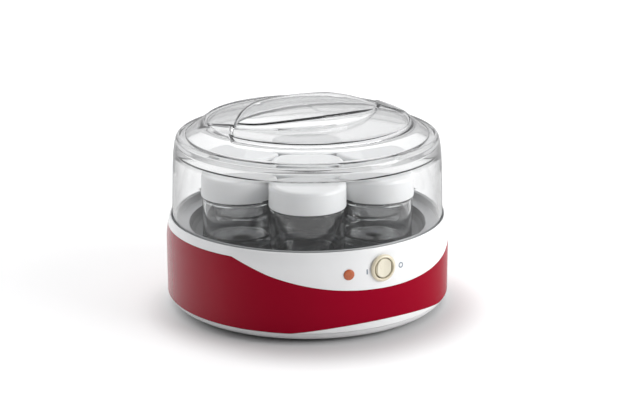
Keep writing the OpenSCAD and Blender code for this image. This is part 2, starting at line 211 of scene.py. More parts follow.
M_WHITE = finish_mat("white_plastic", (0.82, 0.825, 0.83), (0.80, 0.805, 0.81), (0.20, 0.26), coat=0.1, grain_amt=0.012)
M_PAN = finish_mat("white_plastic_satin", (0.78, 0.785, 0.79), (0.73, 0.735, 0.74), (0.32, 0.42), grain_amt=0.2)
M_RED = finish_mat("red_plastic", (0.295, 0.0022, 0.0175), (0.283, 0.0020, 0.0160), (0.22, 0.27), grain_amt=0.008, tone_scale=14.0, ior=1.40)


def painted_sheen_fade(m, pts):
    """Painted sheen: the specular level across the skin, (place, level) pairs from right to left, set high on one side
    to paint a one-sided sheen.
    """
    nt = m.node_tree
    tc = nt.nodes.new("ShaderNodeTexCoord")
    dt = nt.nodes.new("ShaderNodeVectorMath")
    dt.operation = "DOT_PRODUCT"
    dt.inputs[1].default_value = (-0.862, 0.507, 0.0)
    nt.links.new(tc.outputs["Object"], dt.inputs[0])
    mr_ = nt.nodes.new("ShaderNodeMapRange")
    mr_.inputs["From Min"].default_value = -0.126
    mr_.inputs["From Max"].default_value = 0.126
    nt.links.new(dt.outputs["Value"], mr_.inputs["Value"])
    mp = nt.nodes.new("ShaderNodeFloatCurve")
    nt.links.new(mr_.outputs["Result"], mp.inputs["Value"])
    c = mp.mapping.curves[0]
    c.points[0].location = pts[0]
    c.points[1].location = pts[-1]
    for q in pts[1:-1]:
        c.points.new(*q)
    mp.mapping.update()
    nt.links.new(mp.outputs[0], nt.nodes["Principled BSDF"].inputs["Specular IOR Level"])


# painted sheen: the red skin reflects strongly on one side only
painted_sheen_fade(M_RED, [(0.0, 0.03), (0.5, 0.04), (0.67, 0.07), (0.83, 0.30), (0.92, 0.55), (1.0, 0.95)])
M_RUBBER = finish_mat("dark_rubber", (0.022, 0.022, 0.024), (0.035, 0.035, 0.036), (0.6, 0.8), grain=2600.0, grain_amt=0.5, grain_dist=0.00004)
M_BOWL = finish_mat("grey_bowl", (0.48, 0.485, 0.495), (0.45, 0.455, 0.465), (0.36, 0.44), metal=0.15, grain_amt=0.05)
M_WELL = finish_mat("dark_bowl", (0.034, 0.037, 0.040), (0.026, 0.029, 0.032), (0.30, 0.38), spec=0.25, grain_amt=0.06)
M_STEEL = finish_mat("steel", (0.62, 0.62, 0.61), (0.52, 0.52, 0.51), (0.22, 0.4), metal=1.0, stretch=(1, 1, 14), grain_amt=0.15)
M_HEAT = finish_mat("heater_foil", (0.42, 0.22, 0.05), (0.30, 0.16, 0.04), (0.35, 0.5), metal=0.3, grain=900.0, grain_amt=0.3)
M_INSUL = finish_mat("insulation", (0.62, 0.56, 0.44), (0.50, 0.44, 0.33), (0.85, 0.95), grain=700.0, grain_amt=0.9, grain_dist=0.0002)
M_BLACK = finish_mat("black_plastic", (0.02, 0.02, 0.021), (0.03, 0.03, 0.031), (0.35, 0.5), grain_amt=0.25)
M_IVORY = finish_mat("ivory_plastic", (0.70, 0.66, 0.54), (0.64, 0.60, 0.48), (0.35, 0.5), grain_amt=0.2)
M_LEAD = finish_mat("lead_sleeve", (0.20, 0.07, 0.03), (0.14, 0.05, 0.02), (0.5, 0.7), grain=3000.0, grain_amt=0.5, grain_dist=0.00005)
M_FOIL = finish_mat("foil_plate", (0.56, 0.57, 0.58), (0.50, 0.51, 0.52), (0.28, 0.4), metal=0.9, stretch=(30, 1, 1), grain_amt=0.12)
M_CREAM = finish_mat("cream_plastic", (0.72, 0.655, 0.50), (0.68, 0.615, 0.465), (0.22, 0.32), coat=0.2, grain_amt=0.08)
M_ROCKER = finish_mat("cream_rocker", (0.72, 0.675, 0.545), (0.68, 0.635, 0.505), (0.25, 0.35), coat=0.2, grain_amt=0.08)
M_BRASS = finish_mat("brass", (0.62, 0.42, 0.14), (0.50, 0.33, 0.10), (0.25, 0.4), metal=1.0, grain_amt=0.15)
M_CAP = finish_mat("cap_white", (0.80, 0.805, 0.81), (0.775, 0.78, 0.785), (0.34, 0.42), sss=0.12, grain_amt=0.12, coat=0.0)
M_MARK = finish_mat("mark_print", (0.16, 0.20, 0.25), (0.19, 0.23, 0.28), (0.4, 0.5), grain_amt=0.1)
# the lid's height band is painted shade: darker over its shoulder, darkest at the fold near 139 mm
M_LID = clear_mat("clear_lid", (0.99, 0.992, 0.992), 1.49, (0.0, 0.010), (0.96, 0.962, 0.962), (0.10, 0.105, 0.11), 4.5, density=11.0, wave=0.001,
                  band=[(0.074, 1.0), (0.1355, 1.0), (0.1392, 0.72), (0.1420, 0.82), (0.1515, 0.82), (0.1528, 1.0), (0.179, 1.0)])
M_JAR = clear_mat("jar_glass", (0.97, 0.975, 0.976), 1.51, (0.0, 0.01), (0.88, 0.885, 0.885), (0.04, 0.042, 0.045), 3.0, density=10.0, wave=0.22, wave_scale=55.0,
                  rim=(0.22, 0.23, 0.24), rim_pow=4.5, glint=1.0)
M_LAMP = clear_mat("lamp_glass", (0.95, 0.80, 0.66), 1.5, (0.02, 0.05), (0.9, 0.7, 0.5))


def amber():
    m, nt, b = new_mat("amber_lens")
    nt.links.new(two_tone(nt, remap(nt, noise(nt, 260.0, 3.0), 0.0, 1.0), (0.50, 0.135, 0.05), (0.43, 0.105, 0.036)),
                 b.inputs["Base Color"])
    nt.links.new(remap(nt, noise(nt, 500.0), 0.24, 0.34), b.inputs["Roughness"])
    b.inputs["Subsurface Weight"].default_value = 0.25
    b.inputs["Subsurface Radius"].default_value = (0.004, 0.0015, 0.0006)
    b.inputs["Subsurface Scale"].default_value = 0.6
    bump(nt, b, noise(nt, 1600.0), 0.1, 0.00002)
    return m


M_AMBER = amber()


# ------------------------------------------------------------------ mesh helpers
def make(name, verts, faces, mat, body, slot=None, repl=(), sharp=38.0, weld=0.0, mtx=None):
    me = bpy.data.meshes.new(name)
    me.from_pydata([(v[0] * K, v[1] * K, v[2] * K) for v in verts], [], faces)
    bm = bmesh.new()
    bm.from_mesh(me)
    if weld:
        bmesh.ops.remove_doubles(bm, verts=bm.verts, dist=weld)
        bmesh.ops.dissolve_degenerate(bm, edges=bm.edges, dist=weld * 0.5)
    if mtx is not None:
        bmesh.ops.transform(bm, matrix=mtx, verts=bm.verts)
    bmesh.ops.recalc_face_normals(bm, faces=bm.faces)
    bm.to_mesh(me)
    bm.free()
    ob = bpy.data.objects.new(name, me)
    bpy.context.scene.collection.objects.link(ob)
    me.materials.append(mat)
    smooth(ob, sharp)
    if body:
        if repl:
            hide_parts(*repl)
        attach(ob, body)
    return ob


def smooth(ob, sharp=38.0):
    me = ob.data
    for p in me.polygons:
        p.use_smooth = True
    me.set_sharp_from_angle(angle=math.radians(sharp))
    me.update()


def cut(ob, cutters, sharp=38.0):
    """Cuts the cutters out of ob and keeps the result as its mesh."""
    for i, c in enumerate(cutters):
        md = ob.modifiers.new("cut%d" % i, "BOOLEAN")
        md.operation = "DIFFERENCE"
        md.solver = "EXACT"
        md.object = c
    bpy.context.view_layer.update()
    dg = bpy.context.evaluated_depsgraph_get()
    me = bpy.data.meshes.new_from_object(ob.evaluated_get(dg))
    old = ob.data
    ob.modifiers.clear()
    ob.data = me
    me.name = old.name + "_cut"
    while len(me.materials) > 1:
        me.materials.pop(index=len(me.materials) - 1)
    for p in me.polygons:
        p.material_index = 0
    bpy.data.meshes.remove(old)
    for c in cutters:
        cm = c.data
        bpy.data.objects.remove(c)
        bpy.data.meshes.remove(cm)
    smooth(ob, sharp)


def fil(points, closed=True, n=5, support=True):
    """A profile from (r, z, fillet radius) corners, with rounded corners and a support point either side."""
    out = []
    m = len(points)
    for i, p in enumerate(points):
        rad = p[2] if len(p) > 2 else 0.0
        P = Vector((p[0], p[1]))
        if rad <= 0 or (not closed and i in (0, m - 1)):
            out.append((P.x, P.y))
            continue
        A = Vector(points[(i - 1) % m][:2])
        B = Vector(points[(i + 1) % m][:2])
        u, v = (A - P), (B - P)
        lu, lv = u.length, v.length
        if lu < 1e-6 or lv < 1e-6:
            out.append((P.x, P.y))
            continue
        u.normalize()
        v.normalize()
        c = max(-0.9999, min(0.9999, u.dot(v)))
        phi = math.acos(c)
        if pi - phi < 0.02:
            out.append((P.x, P.y))
            continue
        t = rad / math.tan(phi / 2)
        t = min(t, 0.46 * min(lu, lv))
        rr = t * math.tan(phi / 2)
        cen = P + (u + v).normalized() * (rr / math.sin(phi / 2))
        T1, T2 = P + u * t, P + v * t
        s1 = min(0.35 * rr + 0.05, 0.3 * (lu - t) if lu > t else 0)
        s2 = min(0.35 * rr + 0.05, 0.3 * (lv - t) if lv > t else 0)
        if support and s1 > 0.01:
            q = T1 + u * s1
            out.append((q.x, q.y))
        a1 = math.atan2(T1.y - cen.y, T1.x - cen.x)
        a2 = math.atan2(T2.y - cen.y, T2.x - cen.x)
        d = (a2 - a1 + pi) % (2 * pi) - pi
        for k in range(n + 1):
            a = a1 + d * k / n
            out.append((cen.x + rr * math.cos(a), cen.y + rr * math.sin(a)))
        if support and s2 > 0.01:
            q = T2 + v * s2
            out.append((q.x, q.y))
    return [(max(0.0, r), z) for r, z in out]


def revolve(prof, segs=128, closed=True, cx=0.0, cy=0.0):
    verts, rings, faces = [], [], []
    for r, z in prof:
        if r < 1e-6:
            verts.append((cx, cy, z))
            rings.append([len(verts) - 1] * segs)
        else:
            s = len(verts)
            for i in range(segs):
                a = 2 * pi * i / segs
                verts.append((cx + r * math.cos(a), cy + r * math.sin(a), z))
            rings.append(list(range(s, s + segs)))
    n = len(prof)
    for j in range(n if closed else n - 1):
        A, B = rings[j], rings[(j + 1) % n]
        for i in range(segs):
            k = (i + 1) % segs
            g = []
            for v in (A[i], A[k], B[k], B[i]):
                if v not in g:
                    g.append(v)
            if len(g) > 2:
                faces.append(g)
    return verts, faces


def join(*parts):
    V, F = [], []
    for v, f in parts:
        o = len(V)
        V += list(v)
        F += [[i + o for i in q] for q in f]
    return V, F


def moved(part, mtx):
    v, f = part
    return [tuple(mtx @ Vector(p)) for p in v], f


def columns(cols):
    """A closed mesh from a ring of closed profiles with the same number of points."""
    n, m = len(cols), len(cols[0])
    V = [p for c in cols for p in c]
    F = []
    for i in range(n):
        a, b = i * m, ((i + 1) % n) * m
        for j in range(m):
            k = (j + 1) % m
            F.append([a + j, b + j, b + k, a + k])
    return V, F


def block(x0, y0, z0, x1, y1, z1, r=0.0, n=3):
    """A box with rounded vertical edges."""
    if r <= 0:
        pts = [(x0, y0), (x1, y0), (x1, y1), (x0, y1)]
    else:
        pts = []
        for cx, cy, a0 in ((x1 - r, y0 + r, -90), (x1 - r, y1 - r, 0), (x0 + r, y1 - r, 90), (x0 + r, y0 + r, 180)):
            for k in range(n + 1):
                a = math.radians(a0 + 90.0 * k / n)
                pts.append((cx + r * math.cos(a), cy + r * math.sin(a)))
    m = len(pts)
    V = [(x, y, z0) for x, y in pts] + [(x, y, z1) for x, y in pts]
    F = [[i, (i + 1) % m, m + (i + 1) % m, m + i] for i in range(m)]
    F.append(list(range(m))[::-1])
    F.append([m + i for i in range(m)])
    return V, F


def soft_plate(w, h, t, r, bev, n=6, extra=()):
    """A plate w by h by t centred on the origin, round corners r, bevelled top edge."""
    def outline(off):
        pts = []
        rr = max(0.05, r - off)
        for sx, sy, a0 in ((1, -1, -90), (1, 1, 0), (-1, 1, 90), (-1, -1, 180)):
            cx, cy = sx * (w / 2 - r), sy * (h / 2 - r)
            for k in range(n + 1):
                a = math.radians(a0 + 90.0 * k / n)
                pts.append((cx + rr * math.cos(a), cy + rr * math.sin(a)))
        return pts
    layers = [(0.0, -t), (0.0, -bev)]
    for k in range(1, 4):
        a = pi / 2 * k / 3
        layers.append((bev * (1 - math.cos(a)), -bev + bev * math.sin(a)))
    layers += list(extra)
    V, F = [], []
    m = len(outline(0))
    for off, z in layers:
        V += [(x, y, z) for x, y in outline(off)]
    for j in range(len(layers) - 1):
        for i in range(m):
            k = (i + 1) % m
            F.append([j * m + i, j * m + k, (j + 1) * m + k, (j + 1) * m + i])
    F.append([i for i in range(m)][::-1])
    F.append([(len(layers) - 1) * m + i for i in range(m)])
    return V, F


def front(a, z, out=0.0):
    """Row frame of a point on the front wall: local X right, Y up, Z outwards, in mm."""
    return (Matrix.Rotation(math.radians(a), 4, "Z") @ Matrix.Translation((0, -126.0 - out, z))
            @ Matrix.Rotation(math.radians(90), 4, "X"))


def pchip(xs, ys):
    n = len(xs)
    h = [xs[i + 1] - xs[i] for i in range(n - 1)]
    d = [(ys[i + 1] - ys[i]) / h[i] for i in range(n - 1)]
    m = [d[0]] + [0.0] * (n - 2) + [d[-1]]
    for i in range(1, n - 1):
        if d[i - 1] * d[i] > 0:
            w1, w2 = 2 * h[i] + h[i - 1], h[i] + 2 * h[i - 1]
            m[i] = (w1 + w2) / (w1 / d[i - 1] + w2 / d[i])

    def f(x):
        if x <= xs[0]:
            return ys[0] + m[0] * (x - xs[0])
        if x >= xs[-1]:
            return ys[-1] + m[-1] * (x - xs[-1])
        i = 0
        while x > xs[i + 1]:
            i += 1
        t = (x - xs[i]) / h[i]
        return ((2 * t ** 3 - 3 * t ** 2 + 1) * ys[i] + (t ** 3 - 2 * t ** 2 + t) * h[i] * m[i]
                + (-2 * t ** 3 + 3 * t ** 2) * ys[i + 1] + (t ** 3 - t ** 2) * h[i] * m[i + 1])
    return f


def cutter(name, part, mtx=None):
    v, f = part
    return make(name, v, f, M_BLACK, None, mtx=mtx)


# ------------------------------------------------------------------ housing and red band
BODY_R = 126.0
IN_R = 121.4
BAND_TOP = 72.4
_sweep = pchip([-66, -63.5, -61.8, -56.4, -50, -44, -36, -29, -17.6, -5, 4, 9.3, 18, 29, 40.5, 46, 55, 63, 70, 74],
               [76.2, 74.3, 73.1, 69.1, 64.0, 59.4, 54.7, 51.3, 47.4, 45.3, 44.8, 44.95, 45.9, 48.1, 51.9, 54.6, 61.0, 67.6, 73.6, 77.2])


def z_top(th):
    if abs(th) > 80:
        return BAND_TOP
    return min(BAND_TOP, _sweep(th))


def z_bot(th):
    if abs(th) > 80:
        return 10.2
    x = BODY_R * math.sin(math.radians(th))
    return max(10.2, 17.0 - (416.0 - math.sqrt(416.0 ** 2 - x * x)))


def wall_r(z):
    r = BODY_R
    if z > 58:
        r -= 0.0068 * (z - 58) ** 2
    if z < 11.2:
        r -= 1.4 - 1.4 * math.sqrt(max(0.0, 1 - ((11.2 - z) / 1.4) ** 2)) if z > 9.8 else 1.4
    return r


def thetas(n):
    base = [-180 + 360.0 * i / n for i in range(n)]
    return base


TH = thetas(480)


def polar_pt(r, th, z):
    a = math.radians(th)
    return (r * math.sin(a), -r * math.cos(a), z)


def housing_col(th):
    zb, zt = z_bot(th), z_top(th)
    g, e = 0.16, 0.30
    P = []
    lo, hi = 9.8, max(9.95, zb - g)
    P.append((123.4, 9.8))
    P.append((124.2, 9.8))
    for k in range(7):
        z = lo + (hi - e * min(1, (hi - lo) / 2) - lo) * k / 6
        P.append((wall_r(z + 0.001), z))
    ee = e * min(1, (hi - lo) / 2)
    for k in range(1, 4):
        a = pi / 2 * k / 3
        P.append((wall_r(hi) - ee * (1 - math.cos(a)), hi - ee + ee * math.sin(a)))
    P.append((BODY_R - 1.3, hi))
    # recess the band sits in
    for k in range(12):
        z = hi + 0.02 + (zt + g - 0.02 - hi - 0.02) * k / 11
        P.append((wall_r(max(z, 12)) - 1.3, z))
    P.append((wall_r(zt) - 1.3, zt + g))
    for k in range(3, 0, -1):
        a = pi / 2 * k / 3
        P.append((wall_r(zt + g) - e * (1 - math.cos(a)), zt + g + e - e * math.sin(a)))
    z0 = zt + g + e
    z1 = 79.7
    for k in range(19):
        z = z0 + (z1 - z0) * k / 18
        P.append((wall_r(z), z))
    # rounded rim
    ro = wall_r(79.8)
    w = ro - (IN_R + 0.05)
    rc, hw = ro - w / 2, w / 2
    for k in range(9):
        a = pi * k / 8
        P.append((rc + hw * math.cos(a), 79.78 + hw * 0.85 * math.sin(a)))
    P += [(IN_R, 79.4), (IN_R, 76.0), (IN_R, 73.3), (IN_R - 0.2, 73.0), (118.2, 73.0), (118.0, 72.8), (118.0, 71.5),
          (117.7, 71.3), (112.8, 70.4), (112.6, 70.2), (112.6, 68.4), (112.8, 68.2), (118.0, 68.2), (121.5, 67.9),
          (122.8, 67.2), (123.1, 64.0), (123.6, 60.0), (123.6, 40.0), (123.6, 20.0), (123.4, 10.0)]
    return [polar_pt(r, th, z) for r, z in P]


hv = columns([housing_col(t) for t in TH])
inner = []
for i in range(4):
    a = math.radians(45 + 90 * i)
    cx, cy = 109.6 * math.cos(a), 109.6 * math.sin(a)
    inner.append(revolve(fil([(2.0, 9.0), (4.4, 9.0, 0.3), (4.9, 68.6, 0), (4.9, 69.9), (2.0, 69.9)]), 32, True, cx, cy))
    rib = block(4.0, -1.0, 15.0, 14.3, 1.0, 65.0, 0.3)
    inner.append(moved(rib, Matrix.Rotation(a, 4, "Z") @ Matrix.Translation((109.6, 0, 0))))
    for s in (-1, 1):
        rib = block(4.0, -0.8, 30.0, 9.5, 0.8, 68.4, 0.3)
        inner.append(moved(rib, Matrix.Rotation(a, 4, "Z") @ Matrix.Translation((109.6, 0, 0))
                           @ Matrix.Rotation(s * 0.75, 4, "Z")))
for i in range(4):
    a = math.radians(22.5 + 90 * i)
    inner.append(revolve(fil([(2.15, 66.2), (4.4, 66.2, 0.3), (4.4, 70.0), (2.15, 70.0)]), 32, True,
                         110.6 * math.cos(a), 110.6 * math.sin(a)))


def cyl(r, z0, z1, segs=96):
    return revolve([(0, z0), (r, z0), (r, z1), (0, z1)], segs, True)


housing = make("housing_shell", *hv, M_WHITE, None)
inlet_cut = Matrix.Translation((0, 122.0, 26.0)) @ Matrix.Rotation(math.radians(-90), 4, "X")
FR = Matrix.Scale(1, 4)


def mm(mtx):
    """The same matrix for vertices that are already in metres."""
    m = mtx.copy()
    for i in range(3):
        m[i][3] *= K
    return m


cut(housing, [
    cutter("c1", cyl(10.15, -9, 4), mm(front(0, 62.9))),
    cutter("c2", cyl(4.1, -9, 4, 64), mm(front(-14.2, 60.9))),
    cutter("c3", cyl(8.2, -9, 9), mm(inlet_cut)),
    cutter("c4", block(-13, -119, 50, 13, -100, 75)),
])
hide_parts("housing")
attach(housing, "base")
make("housing_posts", *join(*inner), M_PAN, "base", "white_plastic")


def band_col(th):
    zb, zt = z_bot(th), z_top(th)
    e = 0.35
    P = [(wall_r(max(zb, 12)) - 1.15, zb)]
    eb = 0.9 if zb < 10.6 else max(0.35, 0.9 - (zb - 10.6) * 0.5)
    for k in range(5):
        a = pi / 2 * k / 4
        P.append((BODY_R - eb + eb * math.sin(a) - 0.02, zb + eb - eb * math.cos(a)))
    n = 26
    for k in range(n + 1):
        t = k / n
        z = zb + eb + 0.25 + (zt - e - 0.25 - zb - eb - 0.25) * t
        P.append((wall_r(max(z, 12)) - 0.02, z))
    for k in range(5):
        a = pi / 2 * k / 4
        P.append((wall_r(zt - e) - 0.02 - e * (1 - math.cos(a)), zt - e + e * math.sin(a)))
    P.append((wall_r(zt) - 1.15, zt))
    for k in range(1, 6):
        z = zt + (zb - zt) * k / 6
        P.append((wall_r(max(z, 12)) - 1.15, z))
    return [polar_pt(r, th, z) for r, z in P]


band = make("red_band_skin", *columns([band_col(t) for t in TH]), M_RED, None)
cut(band, [cutter("c5", cyl(8.3, -9, 9), mm(inlet_cut))])
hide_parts("red_band")
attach(band, "base")

# ------------------------------------------------------------------ underside
pan = make("base_pan_shell", *revolve(fil([
    (0, 4.0), (60.4, 4.0), (61.0, 3.6, 0.3), (62.4, 3.6, 0.3), (63.0, 4.0), (107.5, 4.0, 1.5), (112.5, 2.4, 1.5),
    (115.6, 2.4, 2.2), (119.8, 3.5, 4.0), (122.9, 6.2, 3.0), (124.5, 9.6, 0.25), (122.9, 9.6, 0.2),
    (122.4, 9.2), (122.4, 13.6, 0.3), (121.5, 13.6, 0.3), (121.5, 8.0), (120.4, 7.2, 1), (113, 6.2, 1),
    (61.6, 6.2), (61.4, 12.0, 0.3), (60.2, 12.0, 0.3), (60.0, 6.2), (0, 6.2)]), 360), M_PAN, None)
cuts = []
scr = []
for i in range(4):
    a = math.radians(45 + 90 * i)
    cx, cy = 109.6 * math.cos(a), 109.6 * math.sin(a)
    scr.append(revolve([(0, -1), (4.2, -1), (4.2, 4.6), (2.1, 4.6), (2.1, 15), (0, 15)], 48, True, cx, cy))
vents = [block(i * 9 - 1.5, -34, 0, i * 9 + 1.5, 6, 9, 1.4) for i in range(-3, 4)]
plate_seat = moved(block(-25, -13, -1, 25, 13, 0.6, 1.5), Matrix.Translation((0, -65, 3.9)))
feet_c = [revolve([(0, -1), (4.0, -1), (4.0, 8), (0, 8)], 48, True, 96 * math.cos(pi / 2 * i), 96 * math.sin(pi / 2 * i))
          for i in range(4)]
cut(pan, [cutter("c6", join(*scr)), cutter("c7", join(*vents)), cutter("c8", plate_seat), cutter("c9", join(*feet_c))])
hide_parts("base_pan")
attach(pan, "base")

bosses = []
for i in range(4):
    a = math.radians(45 + 90 * i)
    cx, cy = 109.6 * math.cos(a), 109.6 * math.sin(a)
    bosses.append(revolve(fil([(4.3, 4.0), (6.0, 4.0), (6.0, 7.6, 0.4), (4.3, 7.6)]), 40, True, cx, cy))
bosses.append(moved(block(-22, 70, 6, 22, 94, 9, 1.5), Matrix.Identity(4)))
make("pan_bosses", *join(*bosses), M_PAN, "base", "white_plastic")

parts = []
for i in range(4):
    a = pi / 2 * i
    prof = fil([(0, 0.6), (3.0, 0.6, 0.3), (3.6, 0.0, 0.3), (5.4, 0.0, 0.6), (7.0, 0.9, 0.8), (7.2, 3.2, 0.5), (6.6, 3.95),
                (3.9, 4.0), (3.9, 6.2), (4.6, 6.4, 0.3), (3.4, 8.2, 0.5), (0, 8.2)])
    parts.append(revolve(prof, 64, True, 96 * math.cos(a), 96 * math.sin(a)))
make("feet_rubber", *join(*parts), M_RUBBER, "base", "dark_rubber", ["feet"])

v, f = soft_plate(48.6, 24.6, 0.45, 1.6, 0.12, extra=[(0.8, 0.0), (0.95, -0.07), (1.25, -0.07), (1.4, 0.0)])
make("rating_plate_blank", v, f, M_FOIL, "base", "foil_plate", ["rating_plate"],
     mtx=mm(Matrix.Translation((0, -65, 3.52)) @ Matrix.Rotation(pi, 4, "X")))

inl = fil([(3.4, -8), (8.0, -8, 0.6), (8.0, -2.4), (9.4, -2.4, 0.3), (9.4, 0.9, 0.3), (8.0, 0.9), (8.0, 4.1),
           (9.4, 4.1, 0.15), (9.4, 6.0, 0.7), (8.2, 6.6, 0.4), (5.0, 6.6, 0.4), (3.4, 5.2, 0.4)])
make("cord_inlet_bush", *revolve(inl, 96), M_BLACK, "base", "dark_rubber", ["cord_inlet"],
     mtx=mm(Matrix.Translation((0, 122.1, 26.0)) @ Matrix.Rotation(math.radians(-90), 4, "X")))

# ------------------------------------------------------------------ heating bowl
bowl = make("heating_bowl_pressing", *revolve(fil([
    (0, 65.0), (40, 65.0), (99.2, 65.0, 3.5), (102.8, 67.8, 3.0), (105.4, 73.3, 1.3), (115.9, 73.3, 1.0), (116.0, 80.6, 0.6),
    (117.4, 80.6, 0.6), (117.4, 74.6, 0.5), (121.3, 74.6, 0.3), (121.3, 73.1, 0.2), (117.8, 73.1, 0.2), (117.8, 71.6, 0.4),
    (104.9, 71.6, 0.6), (102.4, 66.4, 2), (100.8, 63.5, 2), (40, 63.5), (0, 63.5)], n=6), 360), M_BOWL, None)
JX = [68.3 * math.cos(math.radians(60 * k)) for k in range(6)] + [0.0]
JY = [68.3 * math.sin(math.radians(60 * k)) for k in range(6)] + [0.0]
seats = [revolve([(24, 64.6), (26, 64.6), (26.3, 65.5), (23.7, 65.5)], 96, True, JX[k], JY[k]) for k in range(7)]
cut(bowl, [cutter("c10", join(*seats))])
bowl.data.materials.append(M_WELL)
for p in bowl.data.polygons:
    c = p.center
    if math.hypot(c.x, c.y) < 0.1053 and c.z > 0.0642:
        p.material_index = 1
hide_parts("heating_bowl")
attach(bowl, "base")
boss = [revolve(fil([(1.2, 65.9), (1.95, 65.9, 0.2), (1.95, 71.8), (1.2, 71.8)]), 24, True,
                110.6 * math.cos(math.radians(22.5 + 90 * i)), 110.6 * math.sin(math.radians(22.5 + 90 * i))) for i in range(4)]
boss.append(revolve(fil([(0, 54.5), (2.4, 54.5, 0.4), (2.4, 63.6), (0, 63.6)]), 32))
make("bowl_studs", *join(*boss), M_BOWL, "base", "grey_bowl")

# ------------------------------------------------------------------ jars and caps
jar_prof = fil([
    (0, 66.3), (19.0, 65.9), (22.6, 65.7, 1.2), (24.4, 65.05, 0.6), (27.0, 65.05, 2.0), (30.6, 66.2, 2.2), (31.8, 70.0, 3.5),
    (31.8, 102.2, 0.8), (32.05, 103.2, 0.4), (32.05, 104.2, 0.4), (31.0, 105.4, 0.8), (30.5, 107, 0.6),
    (30.5, 113.8, 0.4), (30.9, 114.4, 0.3), (30.9, 116.2, 0.3), (30.5, 116.8, 0.3), (30.5, 122.0, 0.7), (29.6, 122.6, 0.7), (28.1, 122.6, 0.6),
    (28.1, 108.5, 2.0), (29.3, 104.5, 2.0), (29.4, 73.5, 2.5), (27.0, 70.6, 3.0), (18.0, 70.0), (8.0, 70.3), (0, 70.6)], n=6)
cap_prof = fil([
    (0, 123.5), (26.7, 123.5, 0.3), (26.7, 119.0, 0.2), (27.5, 119.0, 0.2), (27.6, 123.2, 0.2), (31.0, 122.6, 0.8), (31.25, 106.2, 0.2),
    (31.5, 105.8, 0.15), (32.8, 105.8, 0.3), (33.05, 107.0), (32.95, 122.3, 1.6), (31.9, 124.7, 2.2), (29.6, 125.45, 1.2), (28.0, 125.45, 0.5),
    (27.2, 125.2, 0.5), (0, 125.2)], n=6)
for k in range(7):
    make("jar_%d_glass" % (k + 1), *revolve(jar_prof, 128, True, JX[k], JY[k]), M_JAR, "jar_%d" % (k + 1), "jar_glass", ["jar_%d" % (k + 1)], sharp=60)
    make("cap_%d_lid" % (k + 1), *revolve(cap_prof, 128, True, JX[k], JY[k]), M_CAP, "cap_%d" % (k + 1), "cap_white", ["cap_%d" % (k + 1)])

# ------------------------------------------------------------------ lid
GR, GC = 91.1, 54.1
C0R, C0Z = 90.5, 165.5
SL = (165.5 - 152.8) / (107.7 - 90.5)
TIP = math.sqrt(GR * GR - GC * GC)
LT = 2.4


_back = pchip([0, 35, 48, 59.5, 72.5, 80, 90], [179.0, 178.8, 177.3, 174.6, 170.8, 168.3, 166.0])
_near = pchip([0, 24, 40, 55, 72, 80, 90], [175.4, 174.5, 173.0, 170.9, 168.4, 167.0, 165.7])


def top_z(x, y):
    """The grip between the two arcs: it rises from its front arc to its back arc."""
    ax = min(90.0, abs(x))
    w = max(16.0, math.sqrt(GR * GR - min(ax, 90.0) ** 2) - GC)
    t = max(0.0, min(1.0, 0.5 + y / (2 * w)))
    t = t * t * (3 - 2 * t)
    return _near(ax) + (_back(ax) - _near(ax)) * t


def d_crescent(x, y):
    """How far a point is inside the nearer finger recess, negative outside it."""
    s = -1 if y < 0 else 1
    d1 = math.hypot(x, y + s * GC) - GR      # outside the arc on this side
    d2 = GR - math.hypot(x, y - s * GC)      # inside the other arc
    return min(d1, d2)


def floor_z(x, y):
    r = math.hypot(x, y)
    s = -1 if y < 0 else 1
    d1 = max(0.0, math.hypot(x, y + s * GC) - GR)
    dc = max(0.0, C0R - r)
    t = dc / (dc + d1 + 1e-6)
    return 164.5 + 1.6 * t * t * (3 - 2 * t)


def field(x, y, under=False):
    T, F = top_z(x, y), floor_z(x, y)
    d = d_crescent(x, y)
    if under:
        T -= LT
        F -= LT
        d += LT - 0.3
    h = max(0.2, T - F)
    rt, rf = min(1.7, 0.5 * h), min(1.8, 0.3 * h)
    if under:
        rt, rf = rt * 0.5, rf * 1.4
    w = 0.5
    if d <= -rt:
        return T
    if d < 0:
        return T - rt * (1 - math.sqrt(max(0.0, 1 - ((d + rt) / rt) ** 2)))
    if d < w:
        return T - rt + (F + rf - T + rt) * d / w
    if d < w + rf:
        return F + rf * (1 - math.sqrt(max(0.0, 1 - ((w + rf - d) / rf) ** 2)))
    return F


def lid_z(x, y, under=False):
    r = math.hypot(x, y)
    if not under:
        cone = C0Z + SL * (C0R - max(r, C0R))
        e = C0R - r
        if e <= 0:
            return cone
        s = min(1.0, e / 0.9)
        s = s * s * (3 - 2 * s)
        return cone * (1 - s) + field(x, y) * s
    cone = C0Z - LT * math.sqrt(1 + SL * SL) + SL * (C0R - r)
    hz = field(x, y, True)
    k = 5.0
    h = max(0.0, min(1.0, 0.5 + 0.5 * (hz - cone) / k))
    return hz * (1 - h) + cone * h - k * h * (1 - h)


def lid_angles(rb):
    """Angles from +X of the columns, finest where the arcs reach the edge."""
    xa = (GC * GC + rb * rb - GR * GR) / (2 * GC)      # |y| where an arc meets the circle rb
    aa = math.asin(max(-1, min(1, xa / rb)))
    at = math.acos(TIP / rb)
    lo, hi = sorted((aa, at))
    out = []
    for a, b, n in ((0.0, lo * 0.86, 10), (lo * 0.86, lo * 1.14, 14), (lo * 1.14, hi * 0.93, 8), (hi * 0.93, hi * 1.07, 10), (hi * 1.07, pi / 2, 46)):
        out += [a + (b - a) * i / n for i in range(n)]
    half = out + [pi / 2]
    return half + [pi - a for a in reversed(out)]


RB = 89.2
HALF = lid_angles(RB)
ALL = HALF + [2 * pi - a for a in reversed(HALF[1:-1])]


